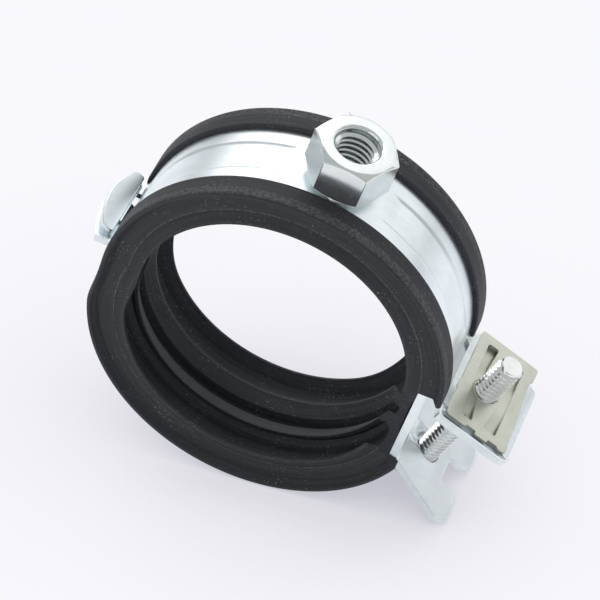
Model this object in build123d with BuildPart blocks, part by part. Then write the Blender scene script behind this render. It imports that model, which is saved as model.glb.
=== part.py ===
from build123d import *
import os
from math import cos, radians, sin, tan

os.makedirs("parts", exist_ok=True)

# Rubber lined pipe clamp, in millimetres. The origin is the centre of the pipe seat, Y is the pipe's axis,
# +Z points out through the welded nut, the hinge is at -X and the screw closure at +X.
# Angles are measured in the XZ plane from +X towards +Z.

# Driving dimensions
pipe_radius = 32.0           # seat of the rubber lining
sheet = 1.5                  # thickness of both steel bands
band_inner = 38.1            # inner radius of the bands
band_half_width = 11.5       # half the strip's width along the pipe
open_angle = 11.0            # the lower half hangs this far open
ear_tilt = 15.0              # both ears slope down towards the outside
hinge_x, hinge_z = -42.2, 0.15
running_gap = 0.05           # air between the rubber and the strip it grips

# Lining, from the seat outwards
bead_half_width = 14.4       # seat edge of the side bead
side_half_width = 13.1       # bottom of the shallow channel along each side
lip_half_width = 15.2        # flared outer corner
lip_outer = 40.8
lip_inner_half_width = 8.7   # where the folded lip ends on the strip
channel_radius = 35.6        # bottom of the channels between beads and ribs
upper_liner_ends = (5.5, 179.7)
lower_liner_ends = (180.3, 352.0)
notch_half_width = 12.0      # the folded lips are cut away this wide at the hinge and at the lower ear
notch_depth = 3.1            # measured inwards from the lips' outer radius
hinge_notch = (-6.5, 1.9)
head_notch_width = 10.0      # half the room for the hinge's T-shaped head as it swings
head_notch_top = 3.8
ear_notch_angle = 345.0

# Pressed middle of the strip
press_depth = 0.35
press_half_width = 4.7
press_slope = 0.9
upper_press_spans = ((14.0, 72.0), (108.0, 166.0))
lower_press_span = (196.0, 344.0)

# Connection nut, M10, on a short welding collar
nut_flats = 17.0
nut_height = 10.0
nut_collar_height = 1.1
nut_collar_radius = 6.8
nut_bore_radius = 4.25
nut_mouth_radius = 5.5
nut_chamfer = 0.4            # how far the turned chamfer reaches inside the flats

# Screw closure, M6
screw_radius = 3.0
screw_above = 12.6           # from the spring plate's top to the tip
screw_below = 31.6           # from the spring plate's top to the head's seat
screw_cross = (-1.6, -1.0)   # the loose screw leans, and meets the spring plate this far off its middle
head_flats = 10.0
head_height = 4.0
head_flange_radius = 6.0
head_flange = 0.8
slot_width = 1.2
slot_depth = 1.6

# Spring plate and the tray it lies in
plate_x = 50.0
plate_length = 27.4          # along the pipe
plate_width = 15.8
plate_thickness = 0.8
window_length = 21.0
window_width = 9.4
window_shift = -0.5          # towards the ring
tongue_gap = 0.12
front_tongue_root = 6.6
front_tongue_tip = 5.2
tray_length = 30.4
tray_outer = 9.9             # from the screw's axis to the tray's outer face
tray_inner = -8.4
tray_slot = (-6.4, 7.2)
tray_slot_half_width = 4.6
tray_corner = 2.4
tray_rim = 1.4
tray_back = 13.4             # the tray's floor ends here, short of the plate's back edge
tray_open_corner = (6.9, 9.6)  # from here the rim is cut away and the plate's corner lies free

# Lower ear, measured from where the screw crosses it
ear_depth = 27.4             # below the spring plate's top, along the screw
ear_edge = 6.6               # outer edge between the lobes
ear_half_width = 13.5
lobe_gap = 3.7               # half the space between the two lobes
lobe_end = 12.2
lobe_corner = 3.0
ear_droop = 14.0             # the lobes bend down this much further
hole_radius = 3.5
flute_radius = 4.6
flute_depth = 1.2

# Hinge: the T-shaped end of the lower band turns in a slot of the upper band's lip
lip_reach = -46.8
lip_curve = 28.7
lip_slot = (-44.35, -40.05)
lip_slot_width = 11.2
neck_width = 10.2
head_length = 19.6
head_inner, head_outer = -42.05, -47.3
head_rise = 1.4              # from the hinge axis to the underside of the head
head_slope = 7.0
head_curve = 16.0

band_outer = band_inner + sheet
band_middle = band_inner + sheet / 2


def section_plane(angle):
    """Plane of a cross-section of the ring: local X points outwards and local Y is the pipe's axis."""
    a = radians(angle)
    return Plane(origin=(0, 0, 0), x_dir=(cos(a), 0, sin(a)), z_dir=(-sin(a), 0, cos(a)))


ring_axis = Axis((0, 0, 0), (0, -1, 0))
hinge_axis = Axis((hinge_x, 0, hinge_z), (0, 1, 0))
ear_plane = Plane(
    origin=(plate_x, 0, 0),
    x_dir=(cos(radians(ear_tilt)), 0, -sin(radians(ear_tilt))),
    z_dir=(sin(radians(ear_tilt)), 0, cos(radians(ear_tilt))),
)


def ring_point(radius, angle):
    return (radius * cos(radians(angle)), radius * sin(radians(angle)))


def band_section(angle, pressed):
    """Section of the steel strip, plain or with its middle pressed in."""
    inner_half = press_half_width - press_slope
    drop = press_depth if pressed else 0.0
    with BuildSketch(section_plane(angle)) as section:
        with BuildLine():
            side = Polyline(
                (band_inner - drop, 0),
                (band_inner - drop, inner_half),
                (band_inner, press_half_width),
                (band_inner, band_half_width),
                (band_outer, band_half_width),
                (band_outer, press_half_width),
                (band_outer - drop, inner_half),
                (band_outer - drop, 0),
            )
            mirror(side, about=Plane.XZ)
        make_face()
    return section.sketch


def liner_section(angle):
    """Section of the rubber profile: side beads, two middle ribs, and lips folded over the strip."""
    groove_in = band_inner - running_gap
    groove_out = band_outer + running_gap
    groove_half = band_half_width + running_gap
    web_in = band_inner - press_depth - running_gap
    with BuildSketch(section_plane(angle)) as section:
        with BuildLine():
            side = Polyline(
                (channel_radius, 0),
                (channel_radius, 1.1),
                (pipe_radius + 1.5, 1.6),
                (pipe_radius, 5.0),
                (pipe_radius, 5.7),
                (pipe_radius + 2.0, 4.8),
                (channel_radius, 6.4),
                (channel_radius, 10.8),
                (pipe_radius, bead_half_width - 0.7),
                (pipe_radius, bead_half_width - 0.1),
                (pipe_radius + 2.9, side_half_width),
                (pipe_radius + 6.5, side_half_width + 0.1),
                (lip_outer - 0.5, lip_half_width),
                (lip_outer, lip_half_width - 0.6),
                (lip_outer, lip_inner_half_width),
                (groove_out, lip_inner_half_width),
                (groove_out, groove_half),
                (groove_in, groove_half),
                (groove_in, press_half_width + 0.6),
                (web_in, press_half_width - 0.2),
                (web_in, 0),
            )
            mirror(side, about=Plane.XZ)
        make_face()
    return section.sketch


# Upper half of the ring: strip, hinge lip and tray-shaped ear
ear_floor_top = -plate_thickness - 0.05
ear_floor_middle = ear_floor_top - sheet / 2
ear_root_x = band_middle
ear_root_z = ear_floor_middle / cos(radians(ear_tilt)) + (plate_x - ear_root_x) * tan(radians(ear_tilt))
ear_join = (plate_x - 7.0, ear_floor_middle / cos(radians(ear_tilt)) + 7.0 * tan(radians(ear_tilt)))

with BuildPart() as upper_band:
    angles = [7.0, *upper_press_spans[0], *upper_press_spans[1], 172.0]
    for index, (start, end) in enumerate(zip(angles, angles[1:])):
        revolve(band_section(start, index in (1, 3)), axis=ring_axis, revolution_arc=end - start)
    # the strip turns outwards into the ear
    with BuildSketch(Plane.XZ):
        with BuildLine():
            FilletPolyline(
                ring_point(band_middle, 7.0),
                (ear_root_x + 0.1, ear_root_z),
                ear_join,
                radius=2.0,
            )
        trace(line_width=sheet)
    extrude(amount=band_half_width, both=True)
    # the strip turns outwards into the hinge lip
    with BuildSketch(Plane.XZ):
        with BuildLine():
            FilletPolyline(
                ring_point(band_middle, 172.0),
                (-band_middle - 0.1, hinge_z),
                (lip_reach, hinge_z),
                radius=1.6,
            )
        trace(line_width=sheet)
    extrude(amount=band_half_width, both=True)
    # tray
    with BuildSketch(ear_plane.offset(ear_floor_top - sheet)):
        with Locations(((tray_outer + tray_inner) / 2, 0)):
            RectangleRounded(tray_outer - tray_inner, tray_length, tray_corner)
    extrude(amount=sheet - ear_floor_top - 0.15)
    with BuildSketch(ear_plane.offset(ear_floor_top)):
        with Locations(((tray_inner + tray_outer - tray_rim) / 2, 0)):
            Rectangle(tray_outer - tray_rim - tray_inner, tray_length - 2 * tray_rim)
    extrude(amount=2.0, mode=Mode.SUBTRACT)
    # the tray's back end: no rim, and its outer corner cut away under the plate
    with BuildSketch(ear_plane.offset(ear_floor_top - 4)):
        with Locations((0, tray_back), (tray_open_corner[0] + tray_length / 2, tray_open_corner[1])):
            Rectangle(tray_length, tray_length, align=(Align.CENTER, Align.MIN))
    extrude(amount=6, mode=Mode.SUBTRACT)
    # slot for the screw through the tray's floor
    with BuildSketch(ear_plane.offset(ear_floor_top - 4)):
        with Locations(((tray_slot[0] + tray_slot[1]) / 2, 0)):
            RectangleRounded(tray_slot[1] - tray_slot[0], 2 * tray_slot_half_width, 2.2)
    extrude(amount=5, mode=Mode.SUBTRACT)
    # hinge lip: convex outline, and the slot that the lower band's neck turns in
    with BuildSketch(Plane.XY.offset(-3)):
        with Locations((lip_reach, 0)):
            Rectangle(10, 60)
        with Locations((lip_reach + lip_curve, 0)):
            Circle(lip_curve, mode=Mode.SUBTRACT)
    extrude(amount=5, mode=Mode.SUBTRACT)
    with BuildSketch(Plane.XY.offset(-3)):
        with Locations(((lip_slot[0] + lip_slot[1]) / 2, 0)):
            Rectangle(lip_slot[1] - lip_slot[0], lip_slot_width)
    extrude(amount=6, mode=Mode.SUBTRACT)
upper_band.part.label = "upper_band"
export_step(upper_band.part, "parts/upper_band.step")


# Lower half of the ring, drawn closed and then swung open about the hinge
def to_closed(x, z):
    """Point of the open lower half, moved back to where it lies when the clamp is closed."""
    a = radians(open_angle)
    dx, dz = x - hinge_x, z - hinge_z
    return (hinge_x + dx * cos(a) - dz * sin(a), hinge_z + dx * sin(a) + dz * cos(a))


tilt = radians(ear_tilt)
cross_x, cross_z = to_closed(plate_x - ear_depth * sin(tilt), -ear_depth * cos(tilt))
lower_ear_plane = Plane(
    origin=(cross_x, 0, cross_z),
    x_dir=(cos(tilt), 0, -sin(tilt)),
    z_dir=(sin(tilt), 0, cos(tilt)),
)
ear_root = (band_middle + 0.1, cross_z + (cross_x - band_middle) * tan(tilt))
ear_bend = (cross_x + 3.6, cross_z - 3.6 * tan(tilt))
ear_end = (ear_bend[0] + 10.0, ear_bend[1] - 10.0 * tan(radians(ear_tilt + ear_droop)))
ear_inner = -(cross_x - band_middle) / cos(tilt)
root_angle = 350.5

with BuildPart() as lower_ear:
    with BuildSketch(Plane.XZ):
        with BuildLine():
            FilletPolyline(ring_point(band_middle, root_angle), ear_root, ear_bend, ear_end, radius=2.0)
        trace(line_width=sheet)
    extrude(amount=ear_half_width, both=True)
    # a flute pressed into the middle runs from the ring to the screw
    with BuildSketch(Plane(origin=lower_ear_plane.origin, x_dir=(0, 1, 0), z_dir=lower_ear_plane.x_dir)):
        with Locations((0, flute_radius - flute_depth - sheet / 2)):
            Circle(flute_radius)
        with Locations((0, flute_radius)):
            Rectangle(4 * flute_radius, 2 * flute_radius + sheet, mode=Mode.SUBTRACT)
    extrude(amount=ear_inner - 0.5)
    with BuildSketch(Plane(origin=lower_ear_plane.origin, x_dir=(0, 1, 0), z_dir=lower_ear_plane.x_dir)):
        with Locations((0, flute_radius - flute_depth + sheet / 2)):
            Circle(flute_radius)
    extrude(amount=4.0, both=True, mode=Mode.SUBTRACT)
    with BuildSketch(lower_ear_plane.offset(-12)):
        with BuildLine():
            edge = Polyline(
                (ear_inner - 10, 0),
                (ear_inner - 10, band_half_width),
                (ear_inner + 1.0, band_half_width),
                (lobe_end, ear_half_width),
                (lobe_end, lobe_gap),
                (ear_edge, lobe_gap),
                (ear_edge, 0),
            )
            mirror(edge, about=Plane.XZ)
        make_face()
        fillet(vertices().group_by(Axis.X)[-1], lobe_corner)
    extrude(amount=24, mode=Mode.INTERSECT)
    with Locations(lower_ear_plane):
        Hole(hole_radius, depth=12)

with BuildPart() as hinge_head:
    with BuildSketch(Plane.XZ):
        with BuildLine():
            FilletPolyline(
                ring_point(band_middle, 187.0),
                (-band_middle - 0.1, hinge_z - 4.1),
                (hinge_x, hinge_z - 2.2),
                (hinge_x, hinge_z + 2.2),
                radius=0.9,
            )
        trace(line_width=sheet)
    extrude(amount=neck_width / 2, both=True)
    slope = radians(head_slope)
    head_plane = Plane(
        origin=(hinge_x, 0, hinge_z + head_rise),
        x_dir=(cos(slope), 0, -sin(slope)),
        z_dir=(sin(slope), 0, cos(slope)),
    )
    with BuildSketch(head_plane):
        with Locations(((head_inner + head_outer) / 2 - hinge_x, 0)):
            RectangleRounded(head_inner - head_outer, head_length, 2.5)
        with Locations((head_outer + head_curve - hinge_x, 0)):
            Circle(head_curve, mode=Mode.INTERSECT)
    extrude(amount=sheet)

with BuildPart() as lower_band_closed:
    for start, end, pressed in (
        (187.0, lower_press_span[0], False),
        (*lower_press_span, True),
        (lower_press_span[1], root_angle, False),
    ):
        revolve(band_section(start, pressed), axis=ring_axis, revolution_arc=end - start)
    add(lower_ear.part)
    add(hinge_head.part)

with BuildPart() as lower_band:
    add(lower_band_closed.part.rotate(hinge_axis, open_angle))
lower_band.part.label = "lower_band"
export_step(lower_band.part, "parts/lower_band.step")

# Rubber lining
notch_face = notch_depth - lip_outer
with BuildPart() as upper_liner:
    start, end = upper_liner_ends
    revolve(liner_section(start), axis=ring_axis, revolution_arc=end - start)
    for top, half_width in ((hinge_notch[1], notch_half_width), (head_notch_top, head_notch_width)):
        with BuildSketch(Plane.XZ):
            with Locations((notch_face, hinge_notch[0])):
                Rectangle(10, top - hinge_notch[0], align=(Align.MAX, Align.MIN))
        extrude(amount=half_width, both=True, mode=Mode.SUBTRACT)
upper_liner.part.label = "upper_liner"
export_step(upper_liner.part, "parts/upper_liner.step")

with BuildPart() as lower_liner_closed:
    start, end = lower_liner_ends
    revolve(liner_section(start), axis=ring_axis, revolution_arc=end - start)
    with BuildSketch(Plane.XZ):
        with Locations((notch_face - 5, sum(hinge_notch) / 2)):
            Rectangle(10, hinge_notch[1] - hinge_notch[0])
        with BuildLine():
            edge = CenterArc((0, 0), -notch_face, ear_notch_angle, 12)
            Polyline(edge @ 1, (lip_outer + 5, 0), (lip_outer + 5, (edge @ 0).Y), edge @ 0)
        make_face()
    extrude(amount=notch_half_width, both=True, mode=Mode.SUBTRACT)

with BuildPart() as lower_liner:
    add(lower_liner_closed.part.rotate(hinge_axis, open_angle))
lower_liner.part.label = "lower_liner"
export_step(lower_liner.part, "parts/lower_liner.step")

# Connection nut, welded on the crown by a collar under it
nut_base = band_outer + nut_collar_height
nut_top = nut_base + nut_height
with BuildPart() as connection_nut:
    with BuildSketch(Plane.XY.offset(nut_base)):
        RegularPolygon(nut_flats / 2, 6, major_radius=False)
    extrude(amount=nut_height)
    # the hexagon's corners are turned off at 30 degrees, above and below
    flank = nut_flats / 2 + 3.6
    turned = (flank - nut_flats / 2 + nut_chamfer) * tan(radians(30))
    for end, inward in ((nut_top, -turned), (nut_base, turned)):
        with BuildSketch(Plane.XZ):
            with BuildLine():
                Polyline((nut_flats / 2 - nut_chamfer, end), (flank, end + inward), (flank, end), close=True)
            make_face()
        revolve(axis=Axis.Z, mode=Mode.SUBTRACT)
    with BuildSketch(Plane.XY.offset(nut_base)):
        Circle(nut_collar_radius)
    extrude(amount=-2 * nut_collar_height)
    with BuildSketch(Plane.XZ):
        Circle(band_outer + 0.02)
    extrude(amount=20, both=True, mode=Mode.SUBTRACT)
    with Locations((0, 0, nut_top)):
        CounterSinkHole(nut_bore_radius, nut_mouth_radius, depth=2 * nut_height, counter_sink_angle=90)
    with BuildSketch(Plane.XY.offset(nut_base)):
        Circle(nut_bore_radius)
    extrude(amount=-2 * nut_collar_height, taper=-30, mode=Mode.SUBTRACT)
connection_nut.part.label = "connection_nut"
export_step(connection_nut.part, "parts/connection_nut.step")

# Spring plate: a window with two tongues that grip the thread
window_centre = window_shift
with BuildPart() as spring_plate:
    with BuildSketch(ear_plane.offset(-plate_thickness)):
        RectangleRounded(plate_width, plate_length, 1.0)
        with Locations((window_centre, 0)):
            RectangleRounded(window_width, window_length, 0.8, mode=Mode.SUBTRACT)
    extrude(amount=plate_thickness)
    # both tongues reach the screw and half embrace it, the front one wide at its root
    cross_u, cross_v = screw_cross
    with BuildSketch(ear_plane.offset(-plate_thickness)):
        with BuildLine():
            Polyline(
                (window_centre - front_tongue_root / 2, -window_length / 2 - 0.5),
                (window_centre + front_tongue_root / 2, -window_length / 2 - 0.5),
                (cross_u + front_tongue_tip / 2, cross_v - 1.5),
                (cross_u - front_tongue_tip / 2, cross_v - 1.5),
                close=True,
            )
        make_face()
        with BuildLine():
            Polyline(
                (window_centre - window_width / 2 - 0.5, window_length / 2 + 0.5),
                (window_centre + window_width / 2 + 0.5, window_length / 2 + 0.5),
                (cross_u + front_tongue_tip / 2, cross_v + 1.5),
                (cross_u - front_tongue_tip / 2, cross_v + 1.5),
                close=True,
            )
        make_face()
        with Locations(screw_cross):
            Circle(screw_radius + tongue_gap, mode=Mode.SUBTRACT)
    extrude(amount=plate_thickness)
spring_plate.part.label = "spring_plate"
export_step(spring_plate.part, "parts/spring_plate.step")

# Screw with a slotted hexagon flange head, leaning from its hole in the lower ear
screw_top = ear_plane.from_local_coords((*screw_cross, 0))
screw_foot = ear_plane.from_local_coords((0, 0, -ear_depth))
screw_plane = Plane(origin=screw_top, z_dir=screw_top - screw_foot)
with BuildPart() as closing_screw:
    with BuildSketch(screw_plane.offset(-screw_below)):
        Circle(screw_radius)
    extrude(amount=screw_below + screw_above)
    chamfer(edges().filter_by(GeomType.CIRCLE).sort_by(Axis.Z)[-1], 0.9)
    with BuildSketch(screw_plane.offset(-screw_below - head_flange)):
        Circle(head_flange_radius)
    extrude(amount=head_flange)
    with BuildSketch(screw_plane.offset(-screw_below - head_height)):
        RegularPolygon(head_flats / 2, 6, major_radius=False)
    extrude(amount=head_height)
    with BuildSketch(screw_plane.offset(-screw_below - head_height)):
        Rectangle(slot_width, 3 * head_flats)
    extrude(amount=slot_depth, mode=Mode.SUBTRACT)
closing_screw.part.label = "closing_screw"
export_step(closing_screw.part, "parts/closing_screw.step")
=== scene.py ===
from bisect import bisect_right
from math import atan2, cos, degrees, hypot, pi, radians, sin, sqrt, tan

import bpy
from mathutils import Matrix, Vector


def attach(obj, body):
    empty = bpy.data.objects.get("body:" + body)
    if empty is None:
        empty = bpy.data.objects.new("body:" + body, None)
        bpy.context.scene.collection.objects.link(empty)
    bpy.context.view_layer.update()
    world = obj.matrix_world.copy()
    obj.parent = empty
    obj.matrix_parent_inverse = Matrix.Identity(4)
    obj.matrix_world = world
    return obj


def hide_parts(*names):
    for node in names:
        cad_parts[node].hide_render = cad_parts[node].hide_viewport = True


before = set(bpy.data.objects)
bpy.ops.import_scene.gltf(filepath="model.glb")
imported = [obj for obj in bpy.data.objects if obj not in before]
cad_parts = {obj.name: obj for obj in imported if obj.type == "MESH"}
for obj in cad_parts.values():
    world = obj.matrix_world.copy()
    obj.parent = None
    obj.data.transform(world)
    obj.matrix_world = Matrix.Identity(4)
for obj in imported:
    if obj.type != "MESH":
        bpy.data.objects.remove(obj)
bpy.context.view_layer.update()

mm = 0.001

# shared sizes in millimetres; the ring's axis is Y and angles run from +X towards +Z
ring = {
    "seat": 32.0,
    "stripInner": 38.1,
    "sheet": 1.5,
    "halfWidth": 11.5,
    "openAngle": 11.0,
    "hinge": (-42.2, 0.15),
    "earTilt": 15.0,
    "plateX": 50.0,
}
stripMiddle = ring["stripInner"] + ring["sheet"] / 2
stripOuter = ring["stripInner"] + ring["sheet"]


def deselectAll():
    if bpy.context.object and bpy.context.object.mode != "OBJECT":
        bpy.ops.object.mode_set(mode="OBJECT")
    bpy.ops.object.select_all(action="DESELECT")


def pick(piece):
    deselectAll()
    piece.select_set(True)
    bpy.context.view_layer.objects.active = piece


def named(name):
    piece = bpy.context.object
    piece.name = name
    piece.data.name = name
    return piece


def addModifier(piece, kind, **settings):
    modifier = piece.modifiers.new(kind.title(), kind)
    for key, value in settings.items():
        setattr(modifier, key, value)
    pick(piece)
    bpy.ops.object.modifier_apply(modifier=modifier.name)


def editAll(piece):
    # edit mode with everything selected
    pick(piece)
    bpy.ops.object.mode_set(mode="EDIT")
    bpy.ops.mesh.select_all(action="SELECT")


def recalculate(piece):
    editAll(piece)
    bpy.ops.mesh.remove_doubles(threshold=1e-6)
    bpy.ops.mesh.normals_make_consistent(inside=False)
    bpy.ops.object.mode_set(mode="OBJECT")


def shade(piece, angle=35):
    pick(piece)
    bpy.ops.object.shade_smooth_by_angle(angle=radians(angle))


def softenEdges(piece, width, segments=2, angle=35):
    addModifier(
        piece, "BEVEL", width=width * mm, segments=segments, limit_method="ANGLE",
        angle_limit=radians(angle), harden_normals=False, use_clamp_overlap=True,
    )


def joined(name, pieces):
    deselectAll()
    for piece in pieces:
        piece.select_set(True)
    bpy.context.view_layer.objects.active = pieces[0]
    if len(pieces) > 1:
        bpy.ops.object.join()
    return named(name)


def combined(piece, tool, operation):
    # a boolean that uses the tool up
    addModifier(piece, "BOOLEAN", operation=operation, object=tool, solver="EXACT")
    bpy.data.objects.remove(tool)


def cutAway(piece, tool):
    combined(piece, tool, "DIFFERENCE")


def placed(piece, matrix):
    # the place goes into the mesh, so the object stays at the origin
    piece.data.transform(matrix)
    piece.data.update()
    return piece


def ringPoint(radius, angle):
    return (radius * cos(radians(angle)), radius * sin(radians(angle)))


def smoothStep(low, high, value):
    t = min(max((value - low) / (high - low), 0.0), 1.0)
    return t * t * (3 - 2 * t)


def earMatrix():
    # the upper ear's plane: local X points outwards, Y along the pipe and Z up through the plate
    tilt = radians(ring["earTilt"])
    axes = Matrix(((cos(tilt), 0, -sin(tilt)), (0, 1, 0), (sin(tilt), 0, cos(tilt))))
    matrix = axes.transposed().to_4x4()
    matrix.translation = Vector((ring["plateX"], 0, 0)) * mm
    return matrix


# the open lower half is the closed one turned about the hinge
hingePoint = Vector((ring["hinge"][0], 0, ring["hinge"][1])) * mm
swing = (
    Matrix.Translation(hingePoint)
    @ Matrix.Rotation(radians(ring["openAngle"]), 4, "Y")
    @ Matrix.Translation(-hingePoint)
)


def toClosed(x, z):
    point = swing.inverted() @ Vector((x * mm, 0, z * mm))
    return (point.x / mm, point.z / mm)


def drawOutline(name, points):
    # a closed flat outline in the XY plane, drawn one vertex after another and filled
    deselectAll()
    bpy.ops.mesh.primitive_plane_add(size=mm)
    outline = named(name)
    editAll(outline)
    bpy.ops.mesh.merge(type="CENTER")
    bpy.ops.transform.translate(value=(points[0][0] * mm, points[0][1] * mm, 0))
    for (x0, y0), (x1, y1) in zip(points, points[1:]):
        step = ((x1 - x0) * mm, (y1 - y0) * mm, 0)
        bpy.ops.mesh.extrude_region_move(TRANSFORM_OT_translate={"value": step})
    bpy.ops.mesh.select_all(action="SELECT")
    bpy.ops.mesh.edge_face_add()
    bpy.ops.object.mode_set(mode="OBJECT")
    return outline


def prism(name, points, low, high):
    # a flat outline pulled up into a block
    block = drawOutline(name, points)
    placed(block, Matrix.Translation((0, 0, low * mm)))
    editAll(block)
    bpy.ops.mesh.extrude_region_move(TRANSFORM_OT_translate={"value": (0, 0, (high - low) * mm)})
    bpy.ops.object.mode_set(mode="OBJECT")
    recalculate(block)
    return block


def bentPath(points, radius, steps=6):
    # centre line of a bent sheet: straight runs with round corners
    path = [points[0]]
    for before, corner, after in zip(points, points[1:], points[2:]):
        a = (Vector(before) - Vector(corner)).normalized()
        b = (Vector(after) - Vector(corner)).normalized()
        half = a.angle(b) / 2
        reach = radius / tan(half)
        middle = Vector(corner) + (a + b).normalized() * radius / sin(half)
        first = Vector(corner) + a * reach - middle
        last = Vector(corner) + b * reach - middle
        for i in range(steps + 1):
            arm = first.slerp(last, i / steps)
            path.append(tuple(middle + arm))
    path.append(points[-1])
    return path


def divided(points, step):
    # the same line with more points along its straight runs
    line = [points[0]]
    for a, b in zip(points, points[1:]):
        count = max(1, round((Vector(b) - Vector(a)).length / step))
        line += [tuple(Vector(a).lerp(Vector(b), i / count)) for i in range(1, count + 1)]
    return line


def leaveOut(piece, flat, holes):
    # flat gives each vertex its place on the unbent sheet
    pick(piece)
    bpy.ops.object.mode_set(mode="EDIT")
    bpy.ops.mesh.select_mode(type="FACE")
    bpy.ops.mesh.select_all(action="DESELECT")
    bpy.ops.object.mode_set(mode="OBJECT")
    for face in piece.data.polygons:
        s = sum(flat[v][0] for v in face.vertices) / 4
        y = sum(flat[v][1] for v in face.vertices) / 4
        face.select = any(a < s < b and low < y < high for a, b, low, high in holes)
    bpy.ops.object.mode_set(mode="EDIT")
    bpy.ops.mesh.delete(type="FACE")
    bpy.ops.mesh.select_mode(type="VERT")
    bpy.ops.object.mode_set(mode="OBJECT")


def runLengths(path):
    # how far along the line each of its points is
    lengths = [0.0]
    for a, b in zip(path, path[1:]):
        lengths.append(lengths[-1] + (Vector(b) - Vector(a)).length)
    return lengths


def bentSheet(name, path, columns, shape, rimWidth=0.22, holes=()):
    # a grid laid along a bent line: shape(s, y) gives each vertex its place along it, width and lift;
    # a hole is (first place, last place, low y, high y) of the faces left out
    rows = len(path)
    line = [Vector(point) for point in path]
    tangents = [(line[min(i + 1, rows - 1)] - line[max(i - 1, 0)]).normalized() for i in range(rows)]
    lengths = runLengths(path)
    deselectAll()
    bpy.ops.mesh.primitive_grid_add(x_subdivisions=rows - 1, y_subdivisions=len(columns) - 1, size=2)
    piece = named(name)
    flat = []
    for vertex in piece.data.vertices:
        i = round((vertex.co.x + 1) / 2 * (rows - 1))
        j = round((vertex.co.y + 1) / 2 * (len(columns) - 1))
        flat.append((lengths[i], columns[j]))
        s, y, lift = shape(lengths[i], columns[j])
        k = min(max(bisect_right(lengths, s) - 1, 0), rows - 2)
        t = (s - lengths[k]) / (lengths[k + 1] - lengths[k])
        point = line[k].lerp(line[k + 1], t)
        along = tangents[k].lerp(tangents[k + 1], min(max(t, 0), 1)).normalized()
        vertex.co = Vector((point.x - along.y * lift, y, point.y + along.x * lift)) * mm
    if holes:
        leaveOut(piece, flat, holes)
    addModifier(piece, "SOLIDIFY", thickness=ring["sheet"] * mm, offset=0)
    recalculate(piece)
    softenEdges(piece, rimWidth, 2, 50)
    return piece


def coil(name, inner, outer, pitch, low, high, crest=0.14, steps=28):
    # one closed ridge wound round Z; its foot is a little narrower than the pitch, so the turns stay apart
    root = (pitch - crest) / 2 * 0.96
    profile = [(inner, -root), (outer, -crest / 2), (outer, crest / 2), (inner, root)]
    ridge = drawOutline(name, profile)
    placed(ridge, Matrix.Rotation(pi / 2, 4, "X"))
    placed(ridge, Matrix.Translation((0, 0, low * mm)))
    turns = int((high - low) / pitch)
    placed(ridge, Matrix.Translation((0, 0, (high - turns * pitch - low) * mm)))
    addModifier(
        ridge, "SCREW", axis="Z", screw_offset=pitch * mm, iterations=turns, steps=steps,
        render_steps=steps, use_merge_vertices=False, use_smooth_shade=False,
    )
    # the two open ends are closed
    pick(ridge)
    bpy.ops.object.mode_set(mode="EDIT")
    bpy.ops.mesh.select_all(action="DESELECT")
    bpy.ops.mesh.select_non_manifold(
        extend=False, use_wire=False, use_multi_face=False, use_non_contiguous=False
    )
    bpy.ops.mesh.edge_face_add()
    bpy.ops.object.mode_set(mode="OBJECT")
    recalculate(ridge)
    return ridge


def lathe(name, profile, steps=64):
    # a closed outline of (radius, height) turned round Z
    turned = drawOutline(name, profile)
    placed(turned, Matrix.Rotation(pi / 2, 4, "X"))
    editAll(turned)
    bpy.ops.mesh.delete(type="ONLY_FACE")
    bpy.ops.mesh.select_all(action="SELECT")
    bpy.ops.mesh.spin(steps=steps, angle=2 * pi, center=(0, 0, 0), axis=(0, 0, 1), use_auto_merge=True)
    bpy.ops.object.mode_set(mode="OBJECT")
    recalculate(turned)
    return turned


class Wire:
    # wraps a shader socket, so that sums of sockets add their own Math nodes
    def __init__(self, tree, socket=None):
        self.tree = tree
        self.socket = socket

    def node(self, kind, settings=None, inputs=None, output=0):
        made = self.tree.nodes.new(kind)
        for key, value in (settings or {}).items():
            if key == "stops":
                for place, colour in value[1:-1]:
                    made.color_ramp.elements.new(place).color = colour
                for end, (place, colour) in ((0, value[0]), (-1, value[-1])):
                    made.color_ramp.elements[end].position = place
                    made.color_ramp.elements[end].color = colour
            else:
                setattr(made, key, value)
        for key, value in (inputs or {}).items():
            if isinstance(value, Wire):
                self.tree.links.new(value.socket, made.inputs[key])
            else:
                made.inputs[key].default_value = value
        return Wire(self.tree, made.outputs[output] if made.outputs else None)

    def maths(self, operation, a, b=0.0):
        return self.node("ShaderNodeMath", {"operation": operation}, {0: a, 1: b})

    def __add__(self, other):
        return self.maths("ADD", self, other)

    def __sub__(self, other):
        return self.maths("SUBTRACT", self, other)

    def __rsub__(self, other):
        return self.maths("SUBTRACT", other, self)

    def __mul__(self, other):
        return self.maths("MULTIPLY", self, other)

    __radd__ = __add__
    __rmul__ = __mul__

    def step(self, low, high, bottom=0.0, top=1.0):
        return self.node(
            "ShaderNodeMapRange", {"interpolation_type": "SMOOTHSTEP"},
            {"Value": self, "From Min": low, "From Max": high, "To Min": bottom, "To Max": top},
        )


def blendColours(wire, mask, first, second):
    # a Mix node in colour mode has its colour sockets at 6 and 7 and its result at 2
    return wire.node("ShaderNodeMix", {"data_type": "RGBA"}, {0: mask, 6: first, 7: second}, 2)


def ringCoordinates(wire, centre=(0.0, 0.0)):
    # place along the ring, across it and outwards, in millimetres, so that streaks follow the bent strip
    place = wire.node("ShaderNodeTexCoord", output=3)
    x, y, z = (wire.node("ShaderNodeSeparateXYZ", inputs={0: place}, output=i) for i in range(3))
    x, z = x - centre[0], z - centre[1]
    around = wire.maths("ARCTAN2", z, x) * stripMiddle
    outwards = wire.maths("SQRT", x * x + z * z) * 1000
    return place, around, y * 1000, outwards


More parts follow.
